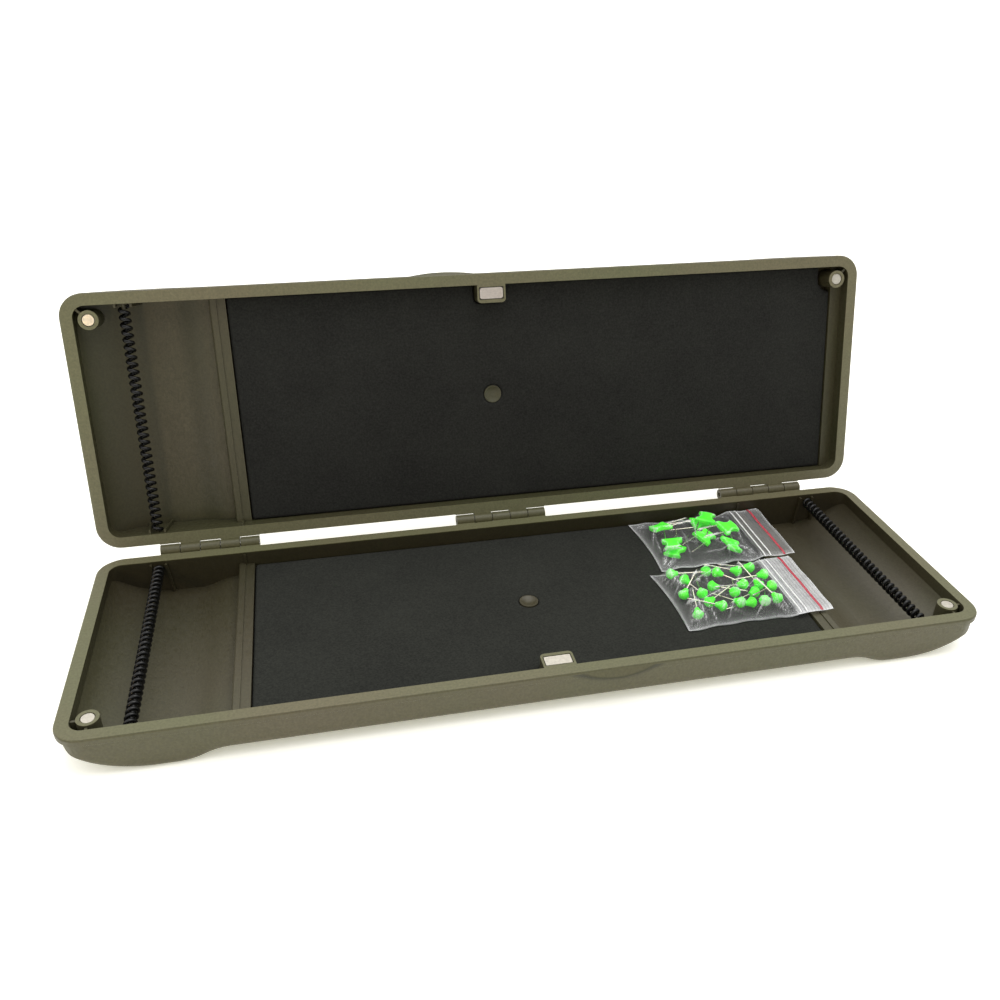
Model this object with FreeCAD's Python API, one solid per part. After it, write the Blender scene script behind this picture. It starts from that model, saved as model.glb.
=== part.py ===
"""Hinged rig storage case with foam boards, coil racks, magnets and two bags of rig pins.

Row frame, millimetres: +X runs along the case, +Y from the front edge to the hinges, +Z up.
The origin is on the ground plane, under the middle of the base. The case stands open, with
its lid turned back on three five-knuckle hinges.
"""
import FreeCAD, Part
import math
import os
import random

from FreeCAD import Vector

os.makedirs("parts", exist_ok=True)

# ---- driving dimensions -------------------------------------------------------------------
CASE_LENGTH = 360.0         # over the rim, along X
CASE_DEPTH = 110.0          # over the rim, along Y
HALF_HEIGHT = 18.0          # one half, foot to rim plane
RIM_CORNER_R = 10.0
RIM_THICK = 3.0             # height of the flange band under the rim plane
RIM_EDGE_R = 1.0            # rounding of the rim's top outer edge
SIDE_OVERHANG = 0.3         # flange over the front and back walls
END_OVERHANG = 1.8          # flange over the end walls
CAVITY_LENGTH = 349.6
CAVITY_DEPTH = 100.0
CAVITY_CORNER_R = 5.0
WALL = 2.0                  # wall under the end curves and floors
OPEN_ANGLE = 104.5          # how far the lid stands open at rest, from closed
CLOSED_GAP = 0.3            # between the two rims when shut

MIDDLE_LIFT = 4.0           # the underside between the feet is this much higher
FOOT_INNER_X = 140.0        # the flat foot starts here
FOOT_OUTER_X = 147.0        # and the elliptical end curve starts here
LIFT_RUN = 18.0             # length of the S-curve between the foot and the middle
UNDER_EDGE_R = 3.0          # rounding of the long lower edges

RIDGE_OUTER_X = 121.2       # crest of the ridge beside a deep compartment
RIDGE_STEP_X = 118.3
FOAM_EDGE_X = 114.5
RIDGE_TOP = 12.4            # heights above the foot
RIDGE_LEDGE = 11.9
LID_LEDGE_X = 169.5         # narrow ledge beside the long foam board, lid only
LID_LEDGE_TOP = 12.0

FOAM_THICK = 5.3
ADHESIVE_THICK = 0.2
FOAM_CLEARANCE = 0.3
CENTRE_STUD_R = 4.0

COIL_X = 155.0
COIL_AXIS_Z = 14.5
COIL_OUTER_R = 2.5
COIL_WIRE_R = 0.8
COIL_PITCH = 3.05
COIL_TURNS = 32
COIL_PEG_R = 0.85
COIL_PEG_LENGTH = 3.0
COIL_RIB_OFFSET = 3.2       # at the rim end of each rib
COIL_RIB_LEAN = 1.8         # and this much further out at the floor

MAGNET_X = 168.8
MAGNET_Y = -44.1
MAGNET_R = 2.5
MAGNET_THICK = 2.0
MAGNET_BOSS_R = 4.0
POCKET_GAP = 0.12
WEB_THICK = 0.9

LATCH_HALF_X = 6.4
LATCH_INNER_Y = -42.1
LATCH_CORNER_R = 1.8
PLATE_X = 10.4
PLATE_Y = 4.8
PLATE_CENTRE_Y = -46.3
PLATE_THICK = 2.0
PLATE_CORNER_R = 0.4
PLATE_GAP = 0.3
CUP_BORDER = 0.9            # the lid's steel plate is a shallow cup with this border
CUP_DEPTH = 0.4

HINGE_XS = {"left": -133.0, "middle": 0.0, "right": 133.0}
KNUCKLE_COUNT = 5
KNUCKLE_PITCH = 8.6
KNUCKLE_GAP = 0.35
BARREL_R = 2.6
HINGE_Y = CASE_DEPTH / 2 + 2.9
HINGE_Z = HALF_HEIGHT + CLOSED_GAP / 2
HINGE_PIN_R = 1.0
HINGE_BORE_R = 1.05
HINGE_PIN_RECESS = 1.0

THUMB_LIP_X = 21.5
THUMB_LIP_WIDTH = 30.0
THUMB_LIP_DROP = 4.4
THUMB_LIP_PROUD = 1.1       # at its lowest point; it is flush at the rim

BAG_LENGTH = 66.0
BAG_WIDTH = 40.0
FILM = 0.3
BAG_FLOOR_Z = 11.8
BAG_ROOF_Z = 20.4
BAG_SEAM = 3.0
MOUTH_START = 49.0
MOUTH_FLOOR_Z = 12.9
MOUTH_ROOF_Z = 14.7
ZIP_AT = 52.0
ZIP_WIDTH = 2.4
STRIPE_AT = 60.5
STRIPE_WIDTH = 1.2

PIN_GAP = 0.15              # least distance between two pins, and between a pin and the film
PIN_TILT = 22.0             # most a pin leans out of level, degrees
PIN_LEVEL_STEP = 0.4
DOUBLE_HEAD_THICK = 2.2
DOUBLE_HEAD_EDGE_R = 0.6
SINGLE_HEAD_R = 2.4
SINGLE_HEAD_LENGTH = 5.0
SINGLE_HEAD_FLAT_R = 0.7    # small flat on its blunt end
SINGLE_HEAD_FLUTES = 7
FLUTE_R = 0.6
NEEDLE_R = 0.3
NEEDLE_LENGTH = 12.0
NEEDLE_SET_IN = 1.6
NEEDLE_POINT = 1.6
DOUBLE_NEEDLE_OFFSET = 2.7
SINGLE_PIN_COUNT = 22
DOUBLE_PIN_COUNT = 8

EPS = 0.5                   # how far cutting tools run past what they cut

FLOOR_DEEP = WALL
FLOOR_MIDDLE = MIDDLE_LIFT + WALL


# ---- helpers ------------------------------------------------------------------------------
def save(shape, node):
    """Write one node, and refuse a shape that isn't made of sound solids."""
    if not shape.Solids or not shape.isValid():
        raise RuntimeError("bad shape: " + node)
    shape.exportStep("parts/" + node + ".step")


def box(x0, x1, y0, y1, z0, z1):
    """Box from its six limits."""
    return Part.makeBox(x1 - x0, y1 - y0, z1 - z0, Vector(x0, y0, z0))


def cylinder(radius, start, direction, length):
    """Cylinder from a start point."""
    return Part.makeCylinder(radius, length, Vector(*start), Vector(*direction))


def rounded_prism(x0, x1, y0, y1, z0, z1, radius):
    """Box with its four upright edges rounded."""
    block = box(x0, x1, y0, y1, z0, z1)
    upright = [edge for edge in block.Edges if edge.BoundBox.ZLength > (z1 - z0) * 0.9]
    return block.makeFillet(radius, upright)


def prism_along_y(edges, y0, y1):
    """Close XZ edges into a face at y0 and extrude it to y1."""
    face = Part.Face(Part.Wire(Part.__sortEdges__(edges)))
    face.translate(Vector(0, y0, 0))
    return face.extrude(Vector(0, y1 - y0, 0))


def line(x0, z0, x1, z1):
    """Straight XZ edge."""
    return Part.LineSegment(Vector(x0, 0, z0), Vector(x1, 0, z1)).toShape()


def arc(p, q, r):
    """XZ arc through three points."""
    return Part.Arc(Vector(p[0], 0, p[1]), Vector(q[0], 0, q[1]), Vector(r[0], 0, r[1])).toShape()


def polyline(points):
    """Straight XZ edges through a list of points."""
    return [line(*a, *b) for a, b in zip(points, points[1:])]


def end_curve(side, half_length, height, centre_x):
    """Quarter ellipse from the rim plane down to the foot, at one end of the case."""
    ellipse = Part.Ellipse(Vector(0, 0, 0), half_length, height)
    quarter = Part.ArcOfEllipse(ellipse, 1.5 * math.pi, 2 * math.pi).toShape()
    quarter.rotate(Vector(0, 0, 0), Vector(1, 0, 0), 90)
    if side < 0:
        quarter = quarter.mirror(Vector(0, 0, 0), Vector(1, 0, 0))
    quarter.translate(Vector(side * centre_x, 0, HALF_HEIGHT))
    return quarter


def lift_curve(side, height):
    """Two tangent arcs that raise the underside, or the floor, from the foot to the middle."""
    reach = LIFT_RUN / 2
    rise = MIDDLE_LIFT / 2
    radius = (reach ** 2 + rise ** 2) / (2 * rise)
    half_turn = math.asin(reach / radius) / 2
    sag = radius * (1 - math.cos(half_turn))
    run = radius * math.sin(half_turn)
    foot_x = FOOT_INNER_X
    middle_x = FOOT_INNER_X - LIFT_RUN
    bend_x = FOOT_INNER_X - reach
    top = height + MIDDLE_LIFT
    lower = arc((side * foot_x, height), (side * (foot_x - run), height + sag),
                (side * bend_x, height + rise))
    upper = arc((side * bend_x, height + rise), (side * (middle_x + run), top - sag),
                (side * middle_x, top))
    return [lower, upper]


# ---- the two moulded shells ---------------------------------------------------------------
def outer_body():
    """Outside of one half, with its foot down and its rim plane up."""
    end_x = CASE_LENGTH / 2 - END_OVERHANG
    side_y = CASE_DEPTH / 2 - SIDE_OVERHANG
    middle_x = FOOT_INNER_X - LIFT_RUN
    edges = [line(-end_x, HALF_HEIGHT, end_x, HALF_HEIGHT),
             line(-middle_x, MIDDLE_LIFT, middle_x, MIDDLE_LIFT)]
    for side in (-1, 1):
        edges.append(end_curve(side, end_x - FOOT_OUTER_X, HALF_HEIGHT, FOOT_OUTER_X))
        edges.append(line(side * FOOT_OUTER_X, 0, side * FOOT_INNER_X, 0))
        edges.extend(lift_curve(side, 0))
    body = prism_along_y(edges, -side_y, side_y)
    lower = [edge for edge in body.Edges
             if edge.BoundBox.YLength < 0.01 and edge.BoundBox.ZMin < HALF_HEIGHT - EPS]
    body = body.makeFillet(UNDER_EDGE_R, lower)
    plan = rounded_prism(-end_x, end_x, -side_y, side_y, -EPS, HALF_HEIGHT, RIM_CORNER_R - 1)
    return body.common(plan)


def rim_flange():
    """Band round the rim plane, rounded above and chamfered below."""
    band = rounded_prism(-CASE_LENGTH / 2, CASE_LENGTH / 2, -CASE_DEPTH / 2, CASE_DEPTH / 2,
                         HALF_HEIGHT - RIM_THICK, HALF_HEIGHT, RIM_CORNER_R)
    top = [edge for edge in band.Edges if edge.BoundBox.ZMin > HALF_HEIGHT - 0.01]
    band = band.makeFillet(RIM_EDGE_R, top)
    bottom = [edge for edge in band.Edges if edge.BoundBox.ZMax < HALF_HEIGHT - RIM_THICK + 0.01]
    return band.makeChamfer(SIDE_OVERHANG, bottom)


def compartment_outline(side):
    """Inside profile of one deep end compartment, from the rim down and in to the foam edge."""
    outer_x = CASE_LENGTH / 2 - END_OVERHANG - WALL + 0.2
    edges = [line(side * outer_x, HALF_HEIGHT + EPS, side * outer_x, HALF_HEIGHT),
             end_curve(side, outer_x - FOOT_OUTER_X, HALF_HEIGHT - WALL, FOOT_OUTER_X)]
    edges.append(line(side * FOOT_OUTER_X, FLOOR_DEEP, side * FOOT_INNER_X, FLOOR_DEEP))
    edges.extend(lift_curve(side, FLOOR_DEEP))
    ridge = [(FOOT_INNER_X - LIFT_RUN, FLOOR_MIDDLE),
             (RIDGE_OUTER_X, RIDGE_TOP - 0.5), (RIDGE_OUTER_X - 0.5, RIDGE_TOP),
             (RIDGE_STEP_X, RIDGE_TOP), (RIDGE_STEP_X, RIDGE_LEDGE),
             (FOAM_EDGE_X, RIDGE_LEDGE), (FOAM_EDGE_X, FLOOR_MIDDLE)]
    edges.extend(polyline([(side * x, z) for x, z in ridge]))
    return edges


def foam_end_outline():
    """Inside profile of the lid's right end, where the foam runs on to a narrow ledge."""
    outer_x = CAVITY_LENGTH / 2 + EPS
    inner = [(outer_x, HALF_HEIGHT + EPS), (outer_x, LID_LEDGE_TOP), (LID_LEDGE_X, LID_LEDGE_TOP),
             (LID_LEDGE_X, FLOOR_MIDDLE), (FOAM_EDGE_X, FLOOR_MIDDLE)]
    return polyline(inner)


def cavity(is_lid):
    """Everything that is hollow in one half, as one cutting solid."""
    edges = compartment_outline(-1)
    edges.extend(foam_end_outline() if is_lid else compartment_outline(1))
    edges.append(line(-FOAM_EDGE_X, FLOOR_MIDDLE, FOAM_EDGE_X, FLOOR_MIDDLE))
    tops = [edge.BoundBox for edge in edges if edge.BoundBox.ZMax > HALF_HEIGHT + EPS - 0.01]
    edges.append(line(min(b.XMin for b in tops), HALF_HEIGHT + EPS,
                      max(b.XMax for b in tops), HALF_HEIGHT + EPS))
    hollow = prism_along_y(edges, -CAVITY_DEPTH / 2, CAVITY_DEPTH / 2)
    plan = rounded_prism(-CAVITY_LENGTH / 2, CAVITY_LENGTH / 2, -CAVITY_DEPTH / 2,
                         CAVITY_DEPTH / 2, 0, HALF_HEIGHT + 2 * EPS, CAVITY_CORNER_R)
    return hollow.common(plan)


def under_foam_pockets():
    """Hollows below the long foam board, over the lid's right end bulge, with ribs between."""
    first_x = 136.0
    pocket = 9.0
    rib = 1.6
    count = 2
    rows = 4
    row_depth = (CAVITY_DEPTH - 10.0 - (rows - 1) * rib) / rows
    tools = []
    for column in range(count):
        x0 = first_x + column * (pocket + rib)
        for row in range(rows):
            y0 = -CAVITY_DEPTH / 2 + 5.0 + row * (row_depth + rib)
            tools.append(box(x0, x0 + pocket, y0, y0 + row_depth, FLOOR_DEEP, FLOOR_MIDDLE + EPS))
    return tools


def magnet_boss(side):
    """Round post for a corner magnet."""
    return cylinder(MAGNET_BOSS_R, (side * MAGNET_X, MAGNET_Y, 0), (0, 0, 1), HALF_HEIGHT)


def straight_webs(side):
    """Two thin webs that tie a base magnet post to the end wall and the front wall."""
    web_low = 6.0
    web_top = HALF_HEIGHT - 0.8
    half = WEB_THICK / 2
    to_end = box(MAGNET_X + 3, CAVITY_LENGTH / 2 + 1, MAGNET_Y - half, MAGNET_Y + half,
                 web_low, web_top)
    to_front = box(MAGNET_X - half, MAGNET_X + half, -CAVITY_DEPTH / 2 - 1, MAGNET_Y - 3,
                   web_low, web_top)
    webs = [to_end, to_front]
    if side < 0:
        webs = [web.mirror(Vector(0, 0, 0), Vector(1, 0, 0)) for web in webs]
    return webs


def diagonal_web(side):
    """One thin web that ties a lid magnet post to the corner."""
    web = box(3, 9, -WEB_THICK / 2, WEB_THICK / 2, 6.0, HALF_HEIGHT - 0.8)
    web.rotate(Vector(0, 0, 0), Vector(0, 0, 1), -45 if side > 0 else -135)
    web.translate(Vector(side * MAGNET_X, MAGNET_Y, 0))
    return [web]


def coil_holders(side):
    """Pegs and paired ribs that hold one coil's two ends, on the front and back walls."""
    wall_y = CAVITY_DEPTH / 2
    rib_depth = 1.6
    pieces = []
    for end in (-1, 1):
        pieces.append(cylinder(COIL_PEG_R, (side * COIL_X, end * (wall_y + 1), COIL_AXIS_Z),
                               (0, -end, 0), COIL_PEG_LENGTH + 1))
        for offset in (-COIL_RIB_OFFSET, COIL_RIB_OFFSET):
            top_x = side * COIL_X + offset
            low_x = top_x + math.copysign(COIL_RIB_LEAN, offset)
            half = WEB_THICK / 2
            outline = [(low_x - half, FLOOR_DEEP - 1), (low_x + half, FLOOR_DEEP - 1),
                       (top_x + half, HALF_HEIGHT - 1.2), (top_x - half, HALF_HEIGHT - 1.2)]
            pieces.append(prism_along_y(polyline(outline + outline[:1]), end * (wall_y - rib_depth),
                                        end * (wall_y + 1)))
    return pieces


def ridge_end_ribs(sides):
    """Small upright ribs where each ridge meets the back wall."""
    wall_y = CAVITY_DEPTH / 2
    ribs = []
    for side in sides:
        x = side * RIDGE_STEP_X
        ribs.append(box(x - 0.5, x + 0.5, wall_y - 0.8, wall_y + 1, RIDGE_TOP - 1,
                        HALF_HEIGHT - 1.0))
    return ribs


def latch_boss():
    """Block behind the front wall that carries the rectangular magnet or its plate."""
    block = rounded_prism(-LATCH_HALF_X, LATCH_HALF_X, -CAVITY_DEPTH / 2 - 2, LATCH_INNER_Y,
                          FLOOR_MIDDLE - 1, HALF_HEIGHT, LATCH_CORNER_R)
    return block


def centre_stud():
    """Post through the middle of the foam, with a dished top."""
    top = FLOOR_MIDDLE + FOAM_THICK + ADHESIVE_THICK - 0.2
    stud = cylinder(CENTRE_STUD_R, (0, 0, FLOOR_MIDDLE - 1), (0, 0, 1), top - FLOOR_MIDDLE + 1)
    dish_depth = 1.0
    edge = CENTRE_STUD_R - 0.5
    dish_r = (edge ** 2 + dish_depth ** 2) / (2 * dish_depth)
    return stud.cut(Part.makeSphere(dish_r, Vector(0, 0, top - dish_depth + dish_r)))


def thumb_lip(side):
    """Crescent lip under the front rim, where a thumb opens the case: it leans out downwards."""
    half = THUMB_LIP_WIDTH / 2
    centre = side * THUMB_LIP_X
    bottom = HALF_HEIGHT - THUMB_LIP_DROP
    corner_z = HALF_HEIGHT - RIM_EDGE_R
    edges = [line(centre - half, corner_z, centre + half, corner_z),
             arc((centre - half, corner_z), (centre, bottom), (centre + half, corner_z))]
    front = -CASE_DEPTH / 2
    inside = front + 3
    lens = prism_along_y(edges, front - THUMB_LIP_PROUD, inside)
    side_view = [Vector(centre - half, inside, corner_z), Vector(centre - half, front, corner_z),
                 Vector(centre - half, front - THUMB_LIP_PROUD, bottom),
                 Vector(centre - half, inside, bottom)]
    face = Part.Face(Part.makePolygon(side_view + side_view[:1]))
    return lens.common(face.extrude(Vector(THUMB_LIP_WIDTH, 0, 0)))


def knuckles(indices):
    """Barrels and leaves of the chosen knuckles of all three hinges, leaf side down."""
    pieces = []
    for centre in HINGE_XS.values():
        left = centre - KNUCKLE_COUNT * KNUCKLE_PITCH / 2
        for index in indices:
            x0 = left + index * KNUCKLE_PITCH + KNUCKLE_GAP / 2
            width = KNUCKLE_PITCH - KNUCKLE_GAP
            barrel = cylinder(BARREL_R, (x0, HINGE_Y, HINGE_Z), (1, 0, 0), width)
            leaf = box(x0, x0 + width, CASE_DEPTH / 2 - 2, HINGE_Y,
                       HINGE_Z - BARREL_R, HALF_HEIGHT)
            bore = cylinder(HINGE_BORE_R, (x0 - EPS, HINGE_Y, HINGE_Z), (1, 0, 0), width + 2 * EPS)
            pieces.append(barrel.fuse(leaf).cut(bore))
    return pieces


def hinge_lands():
    """Square edge on the back rim behind each hinge, so that little light shows past the barrels."""
    half = KNUCKLE_COUNT * KNUCKLE_PITCH / 2
    back = CASE_DEPTH / 2
    return [box(centre - half, centre + half, back - 2, back, HALF_HEIGHT - 2, HALF_HEIGHT)
            for centre in HINGE_XS.values()]


def magnet_pocket(side):
    """Blind round pocket for a corner magnet."""
    return cylinder(MAGNET_R + POCKET_GAP, (side * MAGNET_X, MAGNET_Y, HALF_HEIGHT - MAGNET_THICK),
                    (0, 0, 1), MAGNET_THICK + EPS)


def plate_pocket():
    """Blind rectangular pocket in the latch block."""
    half_x = PLATE_X / 2 + PLATE_GAP
    half_y = PLATE_Y / 2 + PLATE_GAP
    return rounded_prism(-half_x, half_x, PLATE_CENTRE_Y - half_y, PLATE_CENTRE_Y + half_y,
                         HALF_HEIGHT - PLATE_THICK, HALF_HEIGHT + EPS, PLATE_CORNER_R)


def half_shell(is_lid):
    """One moulded half, foot down: walls, posts, ribs, hinge knuckles and pockets."""
    body = outer_body()
    inner_parts = [latch_boss(), centre_stud()]
    for side in (-1, 1):
        inner_parts.append(magnet_boss(side))
        inner_parts.extend(diagonal_web(side) if is_lid else straight_webs(side))
    for side in ((-1,) if is_lid else (-1, 1)):
        inner_parts.extend(coil_holders(side))
    inner_parts.extend(ridge_end_ribs((-1,) if is_lid else (-1, 1)))
    limits = body.fuse(rim_flange())
    inside = inner_parts[0].multiFuse(inner_parts[1:]).common(limits)
    hollow = [cavity(is_lid)]
    if is_lid:
        hollow.extend(under_foam_pockets())
    shell = limits.cut(hollow)
    lip = thumb_lip(-1 if is_lid else 1)
    hinges = hinge_lands() + knuckles((1, 3) if is_lid else (0, 2, 4))
    shell = shell.multiFuse([inside, lip] + hinges)
    shell = shell.cut([magnet_pocket(-1), magnet_pocket(1), plate_pocket()])
    return shell.removeSplitter()


# ---- what is fitted into the shells -------------------------------------------------------
def foam_outline(x0, x1, z0, z1):
    """Board with its cut-outs for the latch block and the centre stud."""
    side_y = CAVITY_DEPTH / 2 - FOAM_CLEARANCE
    board = box(x0, x1, -side_y, side_y, z0, z1)
    notch = box(-LATCH_HALF_X - 0.5, LATCH_HALF_X + 0.5, -CAVITY_DEPTH / 2, LATCH_INNER_Y + 0.5,
                z0 - EPS, z1 + EPS)
    hole = cylinder(CENTRE_STUD_R + 0.25, (0, 0, z0 - EPS), (0, 0, 1), z1 - z0 + 2 * EPS)
    return board.cut([notch, hole])


def foam_board(is_lid, z0, z1):
    """Foam or adhesive layer of one half; the lid's runs on past the corner post."""
    left = -FOAM_EDGE_X + FOAM_CLEARANCE
    if not is_lid:
        return foam_outline(left, FOAM_EDGE_X - FOAM_CLEARANCE, z0, z1)
    board = foam_outline(left, LID_LEDGE_X - FOAM_CLEARANCE, z0, z1)
    scallop = cylinder(MAGNET_BOSS_R + 1.8, (MAGNET_X, MAGNET_Y, z0 - EPS), (0, 0, 1),
                       z1 - z0 + 2 * EPS)
    corner = box(MAGNET_X - MAGNET_BOSS_R - 1.8, CASE_LENGTH / 2, -CAVITY_DEPTH / 2, MAGNET_Y,
                 z0 - EPS, z1 + EPS)
    return board.cut([scallop, corner])


def coil(side):
    """Round-wire helix along Y, held at both ends."""
    centre_r = COIL_OUTER_R - COIL_WIRE_R
    length = COIL_PITCH * COIL_TURNS
    path = Part.makeHelix(COIL_PITCH, length, centre_r)
    rise = COIL_PITCH / (2 * math.pi)
    section = Part.makeCircle(COIL_WIRE_R, Vector(centre_r, 0, 0), Vector(0, centre_r, rise))
    wire = Part.Wire(path).makePipeShell([Part.Wire(section)], True, True)
    wire.rotate(Vector(0, 0, 0), Vector(1, 0, 0), -90)
    wire.translate(Vector(side * COIL_X, -length / 2, COIL_AXIS_Z))
    return wire


def corner_magnet(side):
    """Round magnet, its face just under the rim plane."""
    disc = cylinder(MAGNET_R, (side * MAGNET_X, MAGNET_Y, HALF_HEIGHT - MAGNET_THICK), (0, 0, 1),
                    MAGNET_THICK - 0.1)
    face = [edge for edge in disc.Edges if edge.BoundBox.ZMin > HALF_HEIGHT - 0.2]
    return disc.makeChamfer(0.2, face)


def latch_block(inset, low_z, high_z, edge_round):
    """Rounded block on the latch's centre, this much smaller all round than the plate."""
    half_x = PLATE_X / 2 - inset
    half_y = PLATE_Y / 2 - inset
    return rounded_prism(-half_x, half_x, PLATE_CENTRE_Y - half_y, PLATE_CENTRE_Y + half_y,
                         low_z, high_z, edge_round)


def latch_magnet():
    """Rectangular magnet of the front latch."""
    return latch_block(0, HALF_HEIGHT - PLATE_THICK, HALF_HEIGHT - 0.1, PLATE_CORNER_R)


def latch_cup():
    """Shallow steel cup that the magnet pulls on."""
    top = HALF_HEIGHT - 0.1
    cup = latch_block(0, HALF_HEIGHT - PLATE_THICK, top, 1.0)
    return cup.cut(latch_block(CUP_BORDER, top - CUP_DEPTH, top + EPS, 0.6))


def hinge_pin(centre):
    """Steel pin through one hinge's five knuckles."""
    length = KNUCKLE_COUNT * KNUCKLE_PITCH - 2 * HINGE_PIN_RECESS
    return cylinder(HINGE_PIN_R, (centre - length / 2, HINGE_Y, HINGE_Z), (1, 0, 0), length)


def as_lid(shape):
    """Turn a foot-down piece over onto the closed base, then swing it open."""
    placed = shape.mirror(Vector(0, 0, HINGE_Z), Vector(0, 0, 1))
    placed.rotate(Vector(0, HINGE_Y, HINGE_Z), Vector(1, 0, 0), -OPEN_ANGLE)
    return placed


# ---- bags and pins ------------------------------------------------------------------------
def in_bag(shape, placement):
    """Move a piece from bag coordinates (u along the bag, v across) to the base."""
    x, y, turn = placement
    moved = shape.copy()
    moved.rotate(Vector(0, 0, 0), Vector(0, 0, 1), turn)
    moved.translate(Vector(x, y, 0))
    return moved


def bag_film():
    """Film bag: flat seams, a raised pouch over the pins, and an open-ended flat mouth."""
    half = BAG_WIDTH / 2
    pouch_half = half - BAG_SEAM
    sheet = box(0, MOUTH_START, -half, half, BAG_FLOOR_Z, BAG_FLOOR_Z + FILM)
    riser = box(MOUTH_START - FILM, MOUTH_START, -half, half, BAG_FLOOR_Z, MOUTH_FLOOR_Z + FILM)
    pouch = box(BAG_SEAM, MOUTH_START, -pouch_half, pouch_half, BAG_FLOOR_Z, BAG_ROOF_Z)
    mouth = box(MOUTH_START - FILM, BAG_LENGTH, -half, half, MOUTH_FLOOR_Z, MOUTH_ROOF_Z)
    pouch_space = box(BAG_SEAM + FILM, MOUTH_START - FILM, -pouch_half + FILM, pouch_half - FILM,
                      BAG_FLOOR_Z + FILM, BAG_ROOF_Z - FILM)
    mouth_space = box(MOUTH_START - 2 * FILM, BAG_LENGTH + EPS, -half + FILM, half - FILM,
                      MOUTH_FLOOR_Z + FILM, MOUTH_ROOF_Z - FILM)
    outside = sheet.multiFuse([riser, pouch, mouth])
    return outside.cut([pouch_space, mouth_space]).removeSplitter()


def zip_strips():
    """The two halves of the press-to-close strip, one above the other."""
    half = BAG_WIDTH / 2 - FILM - 0.1
    low = MOUTH_FLOOR_Z + FILM
    high = MOUTH_ROOF_Z - FILM
    middle = (low + high) / 2
    lower = box(ZIP_AT, ZIP_AT + ZIP_WIDTH, -half, half, low, middle - 0.05)
    upper = box(ZIP_AT, ZIP_AT + ZIP_WIDTH, -half, half, middle + 0.05, high)
    return lower, upper


def lip_stripe():
    """Coloured stripe on the upper lip."""
    half = BAG_WIDTH / 2
    return box(STRIPE_AT, STRIPE_AT + STRIPE_WIDTH, -half, half, MOUTH_ROOF_Z, MOUTH_ROOF_Z + 0.1)


def flat_line(a, b):
    """Straight edge in the plane of a pin."""
    return Part.LineSegment(Vector(*a, 0), Vector(*b, 0)).toShape()


def flat_arc(a, b, c):
    """Arc in the plane of a pin."""
    return Part.Arc(Vector(*a, 0), Vector(*b, 0), Vector(*c, 0)).toShape()


def single_head():
    """Fluted teardrop grip of a single pin; the needle leaves its narrow end along +X."""
    widest = -3.0
    blunt = (-SINGLE_HEAD_LENGTH, SINGLE_HEAD_FLAT_R)
    outline = [flat_line((-SINGLE_HEAD_LENGTH, 0), (0, 0)),
               flat_line((0, 0), (0, 0.9)),
               flat_arc((0, 0.9), (-1.6, 1.5), (widest, SINGLE_HEAD_R)),
               flat_arc((widest, SINGLE_HEAD_R), (-4.4, 1.7), blunt),
               flat_line(blunt, (-SINGLE_HEAD_LENGTH, 0))]
    face = Part.Face(Part.Wire(Part.__sortEdges__(outline)))
    grip = face.revolve(Vector(0, 0, 0), Vector(1, 0, 0), 360)
    flutes = []
    for index in range(SINGLE_HEAD_FLUTES):
        angle = 2 * math.pi * (index + 0.3) / SINGLE_HEAD_FLUTES
        radius = SINGLE_HEAD_R + 0.35
        centre = (-SINGLE_HEAD_LENGTH - EPS, radius * math.cos(angle), radius * math.sin(angle))
        flutes.append(cylinder(FLUTE_R, centre, (1, 0, 0), SINGLE_HEAD_LENGTH + EPS))
    return grip.cut(flutes)


def double_head():
    """Crown-shaped grip of a double pin; the two needles leave it along +X."""
    outline = [flat_line((0, -4.7), (0, 4.7)),
               flat_line((0, 4.7), (-2.2, 4.5)),
               flat_arc((-2.2, 4.5), (-4.5, 2.8), (-8.0, 3.9)),
               flat_arc((-8.0, 3.9), (-8.7, 0), (-8.0, -3.9)),
               flat_arc((-8.0, -3.9), (-4.5, -2.8), (-2.2, -4.5)),
               flat_line((-2.2, -4.5), (0, -4.7))]
    face = Part.Face(Part.Wire(Part.__sortEdges__(outline)))
    grip = face.extrude(Vector(0, 0, DOUBLE_HEAD_THICK))
    grip.translate(Vector(0, 0, -DOUBLE_HEAD_THICK / 2))
    rims = [edge for edge in grip.Edges if edge.BoundBox.ZLength < 0.01]
    return grip.makeFillet(DOUBLE_HEAD_EDGE_R, rims)


def needle(offset):
    """Steel needle, set a little way into its head, with a tapered point."""
    shank = NEEDLE_LENGTH - NEEDLE_POINT
    shaft = cylinder(NEEDLE_R, (-NEEDLE_SET_IN, offset, 0), (1, 0, 0), NEEDLE_SET_IN + shank)
    tip = Part.makeCone(NEEDLE_R, 0.05, NEEDLE_POINT, Vector(shank, offset, 0), Vector(1, 0, 0))
    return shaft.fuse(tip)


def pin_balls(kind):
    """Balls that stand in for one pin when pins are scattered: (along, across, radius)."""
    if kind == "single":
        balls = [(-2.6, 0, SINGLE_HEAD_R + 0.1), (-0.7, 0, 1.35)]
        tracks = (0.0,)
    else:
        radius = DOUBLE_HEAD_THICK / 2 + 0.15
        balls = [(along, across, radius) for along in (-1.2, -2.8, -4.4, -6.0, -7.5)
                 for across in (-3.6, -1.8, 0, 1.8, 3.6)]
        tracks = (-DOUBLE_NEEDLE_OFFSET, DOUBLE_NEEDLE_OFFSET)
    for track in tracks:
        count = int(NEEDLE_LENGTH / (2 * NEEDLE_R))
        balls.extend((2 * NEEDLE_R * (i + 0.5), track, NEEDLE_R) for i in range(count))
    return balls


def pin_placement(u, v, z, turn, tilt, roll):
    """Placement of a pin in its bag."""
    spin = FreeCAD.Rotation(turn, tilt, roll)
    return FreeCAD.Placement(Vector(u, v, z), spin)


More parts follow.
